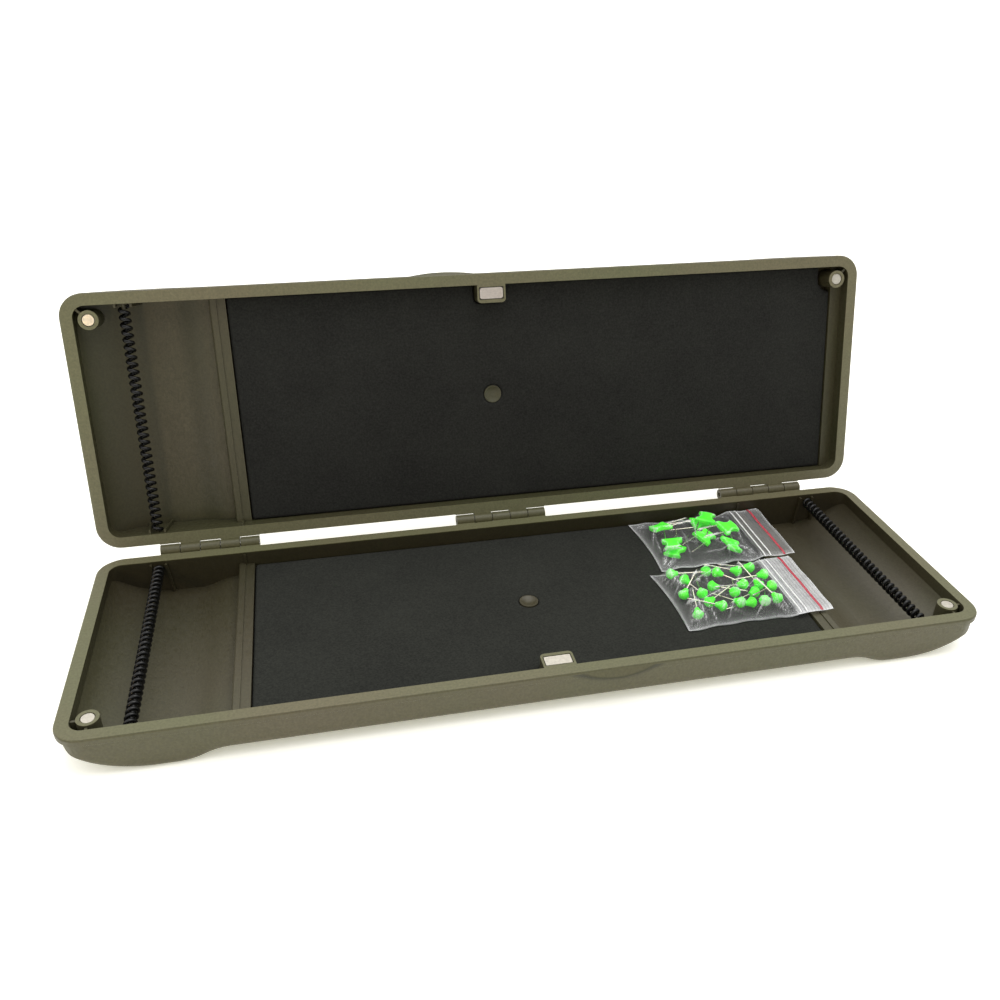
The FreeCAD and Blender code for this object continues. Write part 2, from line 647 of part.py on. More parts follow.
def fits(balls, others):
    """Whether a pin's balls stay inside the pouch and clear of the pins already there."""
    low_u = BAG_SEAM + FILM + PIN_GAP
    high_u = MOUTH_START - FILM - PIN_GAP
    high_v = BAG_WIDTH / 2 - BAG_SEAM - FILM - PIN_GAP
    low_z = BAG_FLOOR_Z + FILM + PIN_GAP
    high_z = BAG_ROOF_Z - FILM - PIN_GAP
    for p, r in balls:
        if p.x - r < low_u or p.x + r > high_u or abs(p.y) + r > high_v:
            return False
        if p.z - r < low_z or p.z + r > high_z:
            return False
    for q, s in others:
        for p, r in balls:
            if p.distanceToPoint(q) < r + s + PIN_GAP:
                return False
    return True


def scatter_pins(kind, count, seed):
    """Placements for a bag's pins: a seeded tangle, each at the lowest free height found."""
    rng = random.Random(seed)
    model = [(Vector(a, c, 0), r) for a, c, r in pin_balls(kind)]
    levels = int((BAG_ROOF_Z - BAG_FLOOR_Z) / PIN_LEVEL_STEP)
    most_roll = 25 if kind == "double" else 180
    placed = []
    occupied = []
    for attempt in range(6000):
        if len(placed) == count:
            break
        u = rng.uniform(BAG_SEAM, MOUTH_START)
        v = rng.uniform(BAG_SEAM - BAG_WIDTH / 2, BAG_WIDTH / 2 - BAG_SEAM)
        turn = rng.uniform(0, 360)
        tilt = rng.uniform(-PIN_TILT, PIN_TILT)
        roll = rng.uniform(-most_roll, most_roll)
        for level in range(levels):
            place = pin_placement(u, v, BAG_FLOOR_Z + level * PIN_LEVEL_STEP, turn, tilt, roll)
            balls = [(place.multVec(p), r) for p, r in model]
            if fits(balls, occupied):
                placed.append(place)
                occupied.extend(balls)
                break
    return placed


def pins(kind, places):
    """Heads and needles of one bag's pins, in bag coordinates."""
    double = (-DOUBLE_NEEDLE_OFFSET, DOUBLE_NEEDLE_OFFSET)
    shafts = [needle(offset) for offset in ((0.0,) if kind == "single" else double)]
    head = (single_head() if kind == "single" else double_head()).cut(shafts)
    heads = []
    needles = []
    for place in places:
        for shape, group in [(head, heads)] + [(shaft, needles) for shaft in shafts]:
            moved = shape.copy()
            moved.Placement = place
            group.append(moved)
    return Part.makeCompound(heads), Part.makeCompound(needles)


BAGS = {"rear": {"kind": "double", "placement": (62.2, 28.6, 0.2), "count": DOUBLE_PIN_COUNT,
                 "seed": 4},
        "front": {"kind": "single", "placement": (58.0, -13.2, 0.4), "count": SINGLE_PIN_COUNT,
                  "seed": 11}}


# ---- build --------------------------------------------------------------------------------
def build_base():
    """Nodes that stay with the base."""
    top = FLOOR_MIDDLE + ADHESIVE_THICK
    save(half_shell(False), "base_shell")
    save(foam_board(False, FLOOR_MIDDLE, top), "base_foam_adhesive")
    save(foam_board(False, top, top + FOAM_THICK), "base_foam_board")
    for name, side in (("left", -1), ("right", 1)):
        save(coil(side), "base_" + name + "_coil")
        save(corner_magnet(side), "base_" + name + "_magnet")
    save(latch_magnet(), "base_latch_magnet")
    for name, centre in HINGE_XS.items():
        save(hinge_pin(centre), "hinge_pin_" + name)


def build_lid():
    """Nodes that swing with the lid."""
    top = FLOOR_MIDDLE + ADHESIVE_THICK
    save(as_lid(half_shell(True)), "lid_shell")
    save(as_lid(foam_board(True, FLOOR_MIDDLE, top)), "lid_foam_adhesive")
    save(as_lid(foam_board(True, top, top + FOAM_THICK)), "lid_foam_board")
    save(as_lid(coil(-1)), "lid_coil")
    for name, side in (("left", -1), ("right", 1)):
        save(as_lid(corner_magnet(side)), "lid_" + name + "_magnet")
    save(as_lid(latch_cup()), "lid_latch_plate")


def build_bags():
    """Both bags with their strips and pins."""
    for name, bag in BAGS.items():
        where = bag["placement"]
        places = scatter_pins(bag["kind"], bag["count"], bag["seed"])
        print(name, "bag holds", len(places), "pins")
        heads, needles = pins(bag["kind"], places)
        lower, upper = zip_strips()
        save(in_bag(bag_film(), where), name + "_bag_film")
        save(in_bag(lower, where), name + "_bag_zip_track")
        save(in_bag(upper, where), name + "_bag_zip_rib")
        save(in_bag(lip_stripe(), where), name + "_bag_lip_stripe")
        save(in_bag(heads, where), bag["kind"] + "_pin_heads")
        save(in_bag(needles, where), bag["kind"] + "_pin_needles")


build_base()
build_lid()
build_bags()
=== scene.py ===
"""Looks for the hinged rig storage case: materials, foam, film bags, floor, light and camera."""

import math
import random

import bmesh
import bpy
import numpy as np
from mathutils import Matrix, Vector
from mathutils.bvhtree import BVHTree


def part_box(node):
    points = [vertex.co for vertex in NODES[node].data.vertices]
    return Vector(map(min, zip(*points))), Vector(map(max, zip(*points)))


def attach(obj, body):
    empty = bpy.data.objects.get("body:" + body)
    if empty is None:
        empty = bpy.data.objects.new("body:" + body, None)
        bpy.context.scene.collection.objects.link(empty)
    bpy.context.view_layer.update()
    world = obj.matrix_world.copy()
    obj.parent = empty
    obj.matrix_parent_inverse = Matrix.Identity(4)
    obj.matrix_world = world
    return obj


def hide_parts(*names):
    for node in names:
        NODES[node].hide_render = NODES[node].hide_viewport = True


MM = 0.001

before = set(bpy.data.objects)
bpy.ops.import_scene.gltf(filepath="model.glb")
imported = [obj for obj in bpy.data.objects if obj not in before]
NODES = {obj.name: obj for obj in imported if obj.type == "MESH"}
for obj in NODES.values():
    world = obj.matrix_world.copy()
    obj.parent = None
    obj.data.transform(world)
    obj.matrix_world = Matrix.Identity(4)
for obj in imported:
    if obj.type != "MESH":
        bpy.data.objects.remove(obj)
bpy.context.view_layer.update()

# ---- the view -----------------------------------------------------------------------------
CAMERA_PLACE = Vector((-0.0803, -0.2995, 0.2466))
CAMERA_TURN = 12.6          # degrees from +Y towards +X
CAMERA_DIP = 30.9           # degrees below level
CAMERA_ROLL = 0.97          # degrees
LENS_MM = 32.6
SENSOR_MM = 36.0

# ---- the case -----------------------------------------------------------------------------
LID_OPEN = math.radians(104.5)
RIM_PLANE = 18.0 * MM
CLOSED_GAP = 0.3 * MM
INSIDE_X = 175.0 * MM       # the inner walls end here
INSIDE_Y = 50.2 * MM
EDGE_FADE = 0.3 * MM        # how soft the border of a differently coloured area is
RIM_SKIN = 0.2 * MM         # what counts as the rim's flat
FRONT_WALL_Y = -54.0 * MM
CASE_COLOURS = ((0.076, 0.066, 0.032), (0.071, 0.069, 0.030))
# painted shade on the inside of the base and the lid, each at its front and its back
INSIDE_TINTS = {False: ((0.90, 0.90, 1.08), (0.38, 0.35, 0.32)),
                True: ((0.64, 0.65, 0.64), (0.64, 0.65, 0.64))}
RIM_TINT = (1.65, 1.72, 2.00)       # painted: the rim's flat looks lighter than this light makes it
LIP_X = 21.5 * MM           # the thumb lip: its middle, and the circle its lower edge follows
LIP_CIRCLE_Z = 48.4 * MM
LIP_CIRCLE_R = 34.8 * MM
LIP_SHADE_ABOVE = 0.9 * MM  # the shade fades in above that edge,
LIP_SHADE_FULL = 0.8 * MM   # is full for this far below it,
LIP_SHADE_BELOW = 2.4 * MM  # and has faded out here
LIP_SHADE = (0.40, 0.41, 0.32)
HINGE_AXIS = Vector((0, 57.9 * MM, 18.15 * MM))
FOAM_VOXEL = 0.9 * MM
FOAM_WAVE = 0.10 * MM       # how uneven a foam board's surface is

# ---- the bags, in bag millimetres: u along from the closed end, v across --------------------
BAG_TURN = {"rear": 0.2, "front": 0.4}
BAG_LENGTH = 66.0
BAG_HALF = 20.0
BAG_STEP = 0.5
FLOOR_Z = 11.95
MOUTH_LOW_Z = 13.2
MOUTH_HIGH_Z = 14.0
ROOF_Z = 20.6
POUCH_END = 50.0
ZIP_LINES = (51.4, 54.2)
STRIPE_AT = 60.9
FILM_GAP = 0.12             # between the two sheets where they lie together
PIN_COVER = 0.15            # of film over a pin
SAG = 0.0022                # how strongly the film settles between the pins
SETTLING_ROUNDS = 2500
SMOOTHING_ROUNDS = 6


# ---- studio -------------------------------------------------------------------------------
def make_camera():
    """Camera at the viewing angle, with a little roll."""
    turn = math.radians(CAMERA_TURN)
    dip = math.radians(CAMERA_DIP)
    roll = math.radians(CAMERA_ROLL)
    ahead = Vector((math.sin(turn) * math.cos(dip), math.cos(turn) * math.cos(dip), -math.sin(dip)))
    level = Vector((math.cos(turn), -math.sin(turn), 0.0))
    above = level.cross(ahead)
    right = level * math.cos(roll) + above * math.sin(roll)
    up = right.cross(ahead)
    data = bpy.data.cameras.new("camera")
    data.lens = LENS_MM
    data.sensor_width = SENSOR_MM
    data.clip_start = 0.01
    camera = bpy.data.objects.new("camera", data)
    bpy.context.scene.collection.objects.link(camera)
    camera.matrix_world = Matrix((right, up, -ahead)).transposed().to_4x4()
    camera.matrix_world.translation = CAMERA_PLACE
    bpy.context.scene.camera = camera


def add_softbox(name, place, target, size, power, colour):
    """Rectangular area light that faces a target."""
    data = bpy.data.lights.new(name, "AREA")
    data.shape = "RECTANGLE"
    data.size = size[0]
    data.size_y = size[1]
    data.energy = power
    data.color = colour
    light = bpy.data.objects.new(name, data)
    bpy.context.scene.collection.objects.link(light)
    light.location = place
    light.rotation_euler = (Vector(target) - Vector(place)).to_track_quat("-Z", "Y").to_euler()


def make_world():
    """Studio surround: bright overhead, pale at the horizon, dim between, most of all in front."""
    world = bpy.data.worlds.new("studio")
    bpy.context.scene.world = world
    world.use_nodes = True
    tree = world.node_tree
    background = tree.nodes["Background"]
    coordinates = tree.nodes.new("ShaderNodeTexCoord")
    parts = tree.nodes.new("ShaderNodeSeparateXYZ")
    tree.links.new(coordinates.outputs["Generated"], parts.inputs[0])
    depth = ramp_value(tree, parts.outputs["Y"], -0.9, 0.1, 0.22, 0.42)
    height = ramp_value(tree, parts.outputs["Z"], 0.45, 0.8, 0.0, 1.35)
    horizon = ramp_value(tree, parts.outputs["Z"], 0.02, 0.30, 0.60, 0.0)
    tree.links.new(added(tree, [depth, height, horizon]), background.inputs["Strength"])
    background.inputs["Color"].default_value = (1.0, 0.998, 0.99, 1)


def make_stage():
    """Pale floor and soft studio light."""
    bpy.context.scene.view_settings.view_transform = "Standard"
    floor = bpy.data.objects.new("floor", bpy.data.meshes.new("floor"))
    reach = 12.0
    corners = [(-reach, -reach, 0), (reach, -reach, 0), (reach, reach, 0), (-reach, reach, 0)]
    floor.data.from_pydata(corners, [], [(0, 1, 2, 3)])
    bpy.context.scene.collection.objects.link(floor)
    material, tree, shader = new_material("studio_floor")
    shader.inputs["Base Color"].default_value = (0.95, 0.945, 0.93, 1)
    shader.inputs["Roughness"].default_value = 0.7
    shader.inputs["Specular IOR Level"].default_value = 0.2
    shader.inputs["Emission Color"].default_value = (1.0, 0.99, 0.80, 1)
    shader.inputs["Emission Strength"].default_value = 0.34
    floor.data.materials.append(material)
    make_world()
    add_softbox("top_softbox", (0.25, 0.15, 1.4), (0, 0.02, 0), (1.5, 1.0), 9, (1.0, 0.985, 0.96))
    add_softbox("warm_lamp", (-0.45, -1.05, 0.24), (-0.12, 0.08, 0.08), (0.12, 0.12), 1.0,
                (1.0, 0.74, 0.40))
    add_softbox("left_softbox", (-1.3, 0.35, 0.75), (-0.1, 0.03, 0.03), (0.5, 0.8), 2.0,
                (1.0, 0.90, 0.76))


# ---- material helpers -----------------------------------------------------------------------
def new_material(name):
    """Material with one Principled shader: (material, node tree, shader)."""
    material = bpy.data.materials.new(name)
    material.use_nodes = True
    tree = material.node_tree
    return material, tree, tree.nodes["Principled BSDF"]


def ramp_value(tree, source, low_in, high_in, low_out, high_out):
    """Clamped linear map of one value."""
    node = tree.nodes.new("ShaderNodeMapRange")
    node.inputs["From Min"].default_value = low_in
    node.inputs["From Max"].default_value = high_in
    node.inputs["To Min"].default_value = low_out
    node.inputs["To Max"].default_value = high_out
    tree.links.new(source, node.inputs["Value"])
    return node.outputs["Result"]


def added(tree, values):
    """Sum of several value sockets."""
    total = values[0]
    for value in values[1:]:
        node = tree.nodes.new("ShaderNodeMath")
        tree.links.new(total, node.inputs[0])
        tree.links.new(value, node.inputs[1])
        total = node.outputs[0]
    return total


def product(tree, values):
    """Product of several value sockets."""
    total = values[0]
    for value in values[1:]:
        node = tree.nodes.new("ShaderNodeMath")
        node.operation = "MULTIPLY"
        tree.links.new(total, node.inputs[0])
        tree.links.new(value, node.inputs[1])
        total = node.outputs[0]
    return total


def magnitude(tree, value):
    """Absolute value."""
    node = tree.nodes.new("ShaderNodeMath")
    node.operation = "ABSOLUTE"
    tree.links.new(value, node.inputs[0])
    return node.outputs[0]


def multiplied(tree, first, second, amount):
    """One colour multiplied by another, by an amount that is a number or a socket."""
    node = tree.nodes.new("ShaderNodeMix")
    node.data_type = "RGBA"
    node.blend_type = "MULTIPLY"
    if isinstance(amount, float):
        node.inputs["Factor"].default_value = amount
    else:
        tree.links.new(amount, node.inputs["Factor"])
    colours = [socket for socket in node.inputs if socket.type == "RGBA"]
    tree.links.new(first, colours[0])
    tree.links.new(second, colours[1])
    return next(socket for socket in node.outputs if socket.type == "RGBA")


def noise(tree, size_mm, detail=3.0, stretch=(1, 1, 1)):
    """Noise texture with features of about this size, on object coordinates."""
    coordinates = tree.nodes.new("ShaderNodeTexCoord")
    mapping = tree.nodes.new("ShaderNodeMapping")
    mapping.inputs["Scale"].default_value = stretch
    texture = tree.nodes.new("ShaderNodeTexNoise")
    texture.inputs["Scale"].default_value = 1.0 / (size_mm * MM)
    texture.inputs["Detail"].default_value = detail
    tree.links.new(coordinates.outputs["Object"], mapping.inputs["Vector"])
    tree.links.new(mapping.outputs["Vector"], texture.inputs["Vector"])
    return texture.outputs["Fac"]


def cells(tree, size_mm):
    """Distance to the nearest of many scattered points this far apart, for open-pored foam."""
    coordinates = tree.nodes.new("ShaderNodeTexCoord")
    texture = tree.nodes.new("ShaderNodeTexVoronoi")
    texture.inputs["Scale"].default_value = 1.0 / (size_mm * MM)
    tree.links.new(coordinates.outputs["Object"], texture.inputs["Vector"])
    return texture.outputs["Distance"]


def mixed_colour(tree, factor, first, second):
    """Colour between two, by a factor."""
    node = tree.nodes.new("ShaderNodeMix")
    node.data_type = "RGBA"
    colours = [socket for socket in node.inputs if socket.type == "RGBA"]
    colours[0].default_value = (*first, 1)
    colours[1].default_value = (*second, 1)
    tree.links.new(factor, node.inputs["Factor"])
    return next(socket for socket in node.outputs if socket.type == "RGBA")


def bumps(tree, shader, layers):
    """Chain of bumps into a shader's normal; each layer is (height socket, strength, depth in mm)."""
    last = None
    for height, strength, depth in layers:
        node = tree.nodes.new("ShaderNodeBump")
        node.inputs["Strength"].default_value = strength
        node.inputs["Distance"].default_value = depth * MM
        tree.links.new(height, node.inputs["Height"])
        if last is not None:
            tree.links.new(last, node.inputs["Normal"])
        last = node.outputs["Normal"]
    tree.links.new(last, shader.inputs["Normal"])


# ---- materials ------------------------------------------------------------------------------
def turned_back(tree, source, is_point, swing):
    """A lid point or direction in the closed case, or a base one as it is: vector, (X, Y, Z)."""
    mapping = tree.nodes.new("ShaderNodeMapping")
    mapping.vector_type = "POINT" if is_point else "VECTOR"
    mapping.inputs["Rotation"].default_value = (swing, 0, 0)
    if is_point:
        offset = HINGE_AXIS - Matrix.Rotation(swing, 3, "X") @ HINGE_AXIS
        mapping.inputs["Location"].default_value = offset
    tree.links.new(source, mapping.inputs["Vector"])
    parts = tree.nodes.new("ShaderNodeSeparateXYZ")
    tree.links.new(mapping.outputs["Vector"], parts.inputs[0])
    return mapping.outputs["Vector"], (parts.outputs["X"], parts.outputs["Y"], parts.outputs["Z"])


def lip_mask(tree, place, y, z, is_lid):
    """1 along the lower edge of the thumb lip, where a painted shade stands in for its shadow."""
    flat = tree.nodes.new("ShaderNodeVectorMath")
    flat.operation = "MULTIPLY"
    tree.links.new(place, flat.inputs[0])
    flat.inputs[1].default_value = (1, 0, 1)
    distance = tree.nodes.new("ShaderNodeVectorMath")
    distance.operation = "DISTANCE"
    tree.links.new(flat.outputs["Vector"], distance.inputs[0])
    rim = RIM_PLANE + (CLOSED_GAP if is_lid else 0)
    sign = -1 if is_lid else 1
    middle_z = rim + sign * (LIP_CIRCLE_Z - RIM_PLANE)
    distance.inputs[1].default_value = (sign * LIP_X, 0, middle_z)
    value = distance.outputs["Value"]
    parts = [ramp_value(tree, value, LIP_CIRCLE_R - LIP_SHADE_ABOVE, LIP_CIRCLE_R, 0, 1),
             ramp_value(tree, value, LIP_CIRCLE_R + LIP_SHADE_FULL,
                        LIP_CIRCLE_R + LIP_SHADE_BELOW, 1, 0),
             ramp_value(tree, y, FRONT_WALL_Y + RIM_SKIN, FRONT_WALL_Y - RIM_SKIN, 0, 1),
             ramp_value(tree, z, rim - sign * 6 * RIM_SKIN, rim - sign * 4 * RIM_SKIN, 1, 0)]
    return product(tree, parts)


def case_masks(tree, is_lid):
    """Masks of one case half for its painted shade and light: its inside, its rim's flat, under its
    lip, and 0 to 1 front to back.
    """
    coordinates = tree.nodes.new("ShaderNodeTexCoord")
    swing = LID_OPEN if is_lid else 0.0
    place, (x, y, z) = turned_back(tree, coordinates.outputs["Object"], True, swing)
    facing = turned_back(tree, coordinates.outputs["Normal"], False, swing)[1][2]
    rim = RIM_PLANE + (CLOSED_GAP if is_lid else 0)
    sign = -1 if is_lid else 1
    near = sign * RIM_SKIN
    far = sign * (RIM_SKIN + EDGE_FADE)
    inside = [ramp_value(tree, magnitude(tree, x), INSIDE_X, INSIDE_X + EDGE_FADE, 1, 0),
              ramp_value(tree, magnitude(tree, y), INSIDE_Y, INSIDE_Y + EDGE_FADE, 1, 0),
              ramp_value(tree, z, rim - far, rim - near, 1, 0),
              ramp_value(tree, facing, -sign * 0.15, -sign * 0.05, 0, 1)]
    land = [ramp_value(tree, z, rim - far, rim - near, 0, 1),
            ramp_value(tree, z, rim + near, rim + far, 1, 0),
            ramp_value(tree, facing, sign * 0.4, sign * 0.9, 0, 1)]
    depth = ramp_value(tree, y, -INSIDE_Y, INSIDE_Y, 0, 1)
    lip = lip_mask(tree, place, y, z, is_lid)
    return product(tree, inside), product(tree, land), lip, depth


def case_plastic(name, is_lid):
    """Olive-brown moulded plastic with a fine texture, painted shade inside and under the lip, and
    painted light on the rim.
    """
    material, tree, shader = new_material(name)
    cloud = ramp_value(tree, noise(tree, 70.0, 2.0), 0.35, 0.65, 0.0, 1.0)
    base = mixed_colour(tree, cloud, *CASE_COLOURS)
    grain = ramp_value(tree, noise(tree, 0.9, 4.0), 0.3, 0.7, 0.0, 1.0)
    grained = multiplied(tree, base, mixed_colour(tree, grain, (0.62, 0.60, 0.56),
                                                  (1.15, 1.13, 1.08)), 0.55)
    inside, land, lip, depth = case_masks(tree, is_lid)
    shaded = multiplied(tree, grained, mixed_colour(tree, depth, *INSIDE_TINTS[is_lid]), inside)
    rim = mixed_colour(tree, land, (1, 1, 1), RIM_TINT)
    shade = mixed_colour(tree, lip, (1, 1, 1), LIP_SHADE)
    coloured = multiplied(tree, multiplied(tree, shaded, rim, 1.0), shade, 1.0)
    tree.links.new(coloured, shader.inputs["Base Color"])
    rough = ramp_value(tree, noise(tree, 1.6, 3.0), 0.3, 0.7, 0.38, 0.56)
    tree.links.new(rough, shader.inputs["Roughness"])
    shader.inputs["Specular IOR Level"].default_value = 0.45
    bumps(tree, shader, [(noise(tree, 0.45, 2.0), 0.5, 0.05), (noise(tree, 1.3, 2.0), 0.35, 0.08)])
    return material


def foam_material(name, dark, light):
    """Charcoal closed-cell foam: pores, short grain and a little clouding."""
    material, tree, shader = new_material(name)
    speckle = ramp_value(tree, noise(tree, 0.8, 5.0), 0.3, 0.7, 0.0, 1.0)
    cloud = ramp_value(tree, noise(tree, 22.0, 3.0), 0.3, 0.7, 0.0, 1.0)
    total = tree.nodes.new("ShaderNodeMath")
    total.operation = "MULTIPLY_ADD"
    tree.links.new(speckle, total.inputs[0])
    total.inputs[1].default_value = 0.75
    tree.links.new(ramp_value(tree, cloud, 0.0, 1.0, 0.0, 0.25), total.inputs[2])
    tree.links.new(mixed_colour(tree, total.outputs[0], dark, light), shader.inputs["Base Color"])
    shader.inputs["Roughness"].default_value = 0.93
    shader.inputs["Specular IOR Level"].default_value = 0.25
    bumps(tree, shader, [(cells(tree, 0.7), 0.7, 0.15), (noise(tree, 1.8, 4.0), 0.5, 0.15)])
    return material


def coil_plastic():
    """Glossy black coil wire, faintly scuffed."""
    material, tree, shader = new_material("coil_plastic")
    shade = ramp_value(tree, noise(tree, 2.5, 3.0), 0.35, 0.65, 0.0, 1.0)
    tree.links.new(mixed_colour(tree, shade, (0.002, 0.002, 0.002), (0.005, 0.005, 0.005)),
                   shader.inputs["Base Color"])
    rough = ramp_value(tree, noise(tree, 0.9, 3.0), 0.3, 0.7, 0.14, 0.26)
    tree.links.new(rough, shader.inputs["Roughness"])
    shader.inputs["Specular IOR Level"].default_value = 0.3
    bumps(tree, shader, [(noise(tree, 0.6, 2.0), 0.2, 0.03)])
    return material


def bare_metal(name, colour, rough_low, rough_high, stretch=(1, 1, 1)):
    """Plated or polished metal with fine rubbing marks along its long direction."""
    material, tree, shader = new_material(name)
    patch = ramp_value(tree, noise(tree, 1.2, 4.0, stretch), 0.3, 0.7, 0.0, 1.0)
    darker = tuple(channel * 0.82 for channel in colour)
    tree.links.new(mixed_colour(tree, patch, darker, colour), shader.inputs["Base Color"])
    shader.inputs["Metallic"].default_value = 1.0
    rough = ramp_value(tree, noise(tree, 0.7, 3.0, stretch), 0.3, 0.7, rough_low, rough_high)
    tree.links.new(rough, shader.inputs["Roughness"])
    bumps(tree, shader, [(noise(tree, 0.5, 2.0, stretch), 0.3, 0.03)])
    return material


def head_plastic():
    """Green pin heads: soft, slightly see-through; a little emission stands in for fluorescence."""
    material, tree, shader = new_material("pin_head_plastic")
    tone = ramp_value(tree, noise(tree, 3.5, 2.0), 0.35, 0.65, 0.0, 1.0)
    colour = mixed_colour(tree, tone, (0.035, 0.80, 0.006), (0.10, 0.92, 0.015))
    tree.links.new(colour, shader.inputs["Base Color"])
    shader.inputs["Roughness"].default_value = 0.42
    shader.inputs["Subsurface Weight"].default_value = 0.25
    shader.inputs["Subsurface Radius"].default_value = (0.4, 1.0, 0.2)
    shader.inputs["Subsurface Scale"].default_value = 1.2 * MM
    shader.inputs["Emission Color"].default_value = (0.05, 0.75, 0.01, 1)
    shader.inputs["Emission Strength"].default_value = 0.22
    bumps(tree, shader, [(noise(tree, 0.8, 3.0), 0.25, 0.05)])
    return material


def film_material():
    """Clear polyethylene: nearly see-through where flat, milky along creases, seams and lips."""
    material, tree, shader = new_material("bag_film")
    mist = tree.nodes.new("ShaderNodeAttribute")
    mist.attribute_name = "mist"
    tree.links.new(mist.outputs["Fac"], shader.inputs["Alpha"])
    haze = ramp_value(tree, noise(tree, 3.0, 4.0), 0.3, 0.7, 0.0, 1.0)
    tree.links.new(mixed_colour(tree, haze, (0.72, 0.73, 0.75), (0.92, 0.93, 0.94)),
                   shader.inputs["Base Color"])
    rough = ramp_value(tree, noise(tree, 1.5, 3.0), 0.3, 0.7, 0.08, 0.22)
    tree.links.new(rough, shader.inputs["Roughness"])
    shader.inputs["Specular IOR Level"].default_value = 1.0
    bumps(tree, shader, [(noise(tree, 1.2, 2.0), 0.25, 0.06)])
    return material


def zip_plastic():
    """Milky white press-to-close strip with a fine drawn grain."""
    material, tree, shader = new_material("zip_plastic")
    shade = ramp_value(tree, noise(tree, 1.5, 3.0, (3, 1, 1)), 0.3, 0.7, 0.0, 1.0)
    tree.links.new(mixed_colour(tree, shade, (0.80, 0.80, 0.80), (0.95, 0.95, 0.95)),
                   shader.inputs["Base Color"])
    shader.inputs["Roughness"].default_value = 0.3
    shader.inputs["Alpha"].default_value = 0.85
    bumps(tree, shader, [(noise(tree, 0.6, 2.0, (3, 1, 1)), 0.3, 0.04)])
    return material


def stripe_ink():
    """Printed rose-red stripe on the lip, with slightly uneven tone and surface."""
    material, tree, shader = new_material("red_ink")
    shade = ramp_value(tree, noise(tree, 0.8, 4.0), 0.3, 0.7, 0.0, 1.0)
    tree.links.new(mixed_colour(tree, shade, (0.42, 0.035, 0.06), (0.62, 0.10, 0.13)),
                   shader.inputs["Base Color"])
    shader.inputs["Roughness"].default_value = 0.35
    shader.inputs["Alpha"].default_value = 0.82
    bumps(tree, shader, [(noise(tree, 0.5, 2.0), 0.2, 0.03)])
    return material


def adhesive_material():
    """Tacky acrylic layer under the foam."""
    material, tree, shader = new_material("adhesive")
    shade = ramp_value(tree, noise(tree, 4.0, 3.0), 0.3, 0.7, 0.0, 1.0)
    tree.links.new(mixed_colour(tree, shade, (0.35, 0.33, 0.28), (0.45, 0.43, 0.37)),
                   shader.inputs["Base Color"])
    shader.inputs["Roughness"].default_value = 0.4
    bumps(tree, shader, [(noise(tree, 1.5, 2.0), 0.4, 0.1)])
    return material


def dress(obj, material):
    """Give an object one material."""
    obj.data.materials.clear()
    obj.data.materials.append(material)


# ---- foam boards ----------------------------------------------------------------------------
def lid_to_flat():
    """Matrix that swings the open lid back to its closed place."""
    away = Matrix.Translation(HINGE_AXIS)
    return away @ Matrix.Rotation(LID_OPEN, 4, "X") @ away.inverted()


def foam_piece(name, node, body, material):
    """Foam board as its own piece: softened edges and a slightly uneven face."""
    swing = lid_to_flat() if body == "lid" else Matrix.Identity(4)
    mesh = NODES[node].data.copy()
    mesh.transform(swing)
    piece = bpy.data.objects.new(name, mesh)
    bpy.context.scene.collection.objects.link(piece)
    remesh = piece.modifiers.new("remesh", "REMESH")
    remesh.mode = "VOXEL"
    remesh.voxel_size = FOAM_VOXEL
    relax = piece.modifiers.new("relax", "SMOOTH")
    relax.factor = 0.5
    relax.iterations = 3
    evaluated = piece.evaluated_get(bpy.context.evaluated_depsgraph_get())
    solid = bpy.data.meshes.new_from_object(evaluated)
    piece.modifiers.clear()
    piece.data = solid
    count = len(solid.vertices)
    points = np.empty(count * 3)
    solid.vertices.foreach_get("co", points)
    points = points.reshape(count, 3)
    points[:, 2] += surface_waves(points[:, 0], points[:, 1])
    solid.vertices.foreach_set("co", points.ravel())
    solid.transform(swing.inverted())
    solid.polygons.foreach_set("use_smooth", [True] * len(solid.polygons))
    solid.update()
    dress(piece, material)
    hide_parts(node)
    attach(piece, body)


def surface_waves(x, y):
    """Slow height changes of a cut foam face."""
    rng = random.Random(7)
    total = np.zeros_like(x)
    for _ in range(9):
        angle = rng.uniform(0, math.pi)
        length = rng.uniform(14, 60) * MM
        phase = rng.uniform(0, 2 * math.pi)
        along = x * math.cos(angle) + y * math.sin(angle)
        total += np.sin(2 * math.pi * along / length + phase)
    return total / 9 * FOAM_WAVE


# ---- film bags ------------------------------------------------------------------------------
def smooth_step(value, low, high):
    """Smooth rise from 0 at low to 1 at high."""
    t = np.clip((value - low) / (high - low), 0, 1)
    return t * t * (3 - 2 * t)


def neighbour_sum(grid):
    """Sum of the four neighbours of every inner point of a grid."""
    return grid[2:, 1:-1] + grid[:-2, 1:-1] + grid[1:-1, 2:] + grid[1:-1, :-2]


